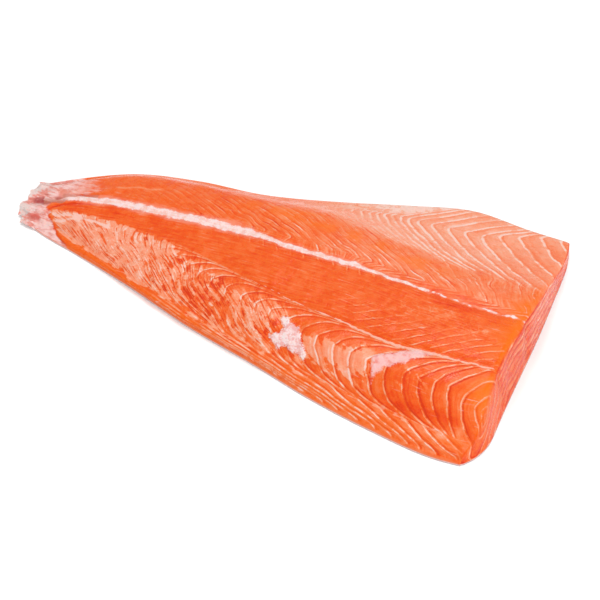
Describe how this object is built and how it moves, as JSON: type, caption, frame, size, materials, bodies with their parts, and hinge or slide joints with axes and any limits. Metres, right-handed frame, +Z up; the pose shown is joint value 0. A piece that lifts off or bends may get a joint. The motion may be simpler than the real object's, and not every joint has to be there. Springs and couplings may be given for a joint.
{
  "type": "salmon fillet",
  "caption": "Tail half of one side of raw salmon, lying skin down, with a square cut at the thick end, banded flakes and a pale spine line.",
  "frame": {"origin": "middle of the underside of the bounding box, on the surface that the fillet lies on", "axes": "+X from the tail to the cut end, +Y from the back edge to the belly edge, +Z up"},
  "size_m": [0.3416, 0.1906, 0.0377],
  "materials": {
    "fillet": "wet, slightly glossy"
  },
  "bodies": {
    "root": {"fillet": "fillet"}
  },
  "joints": []
}
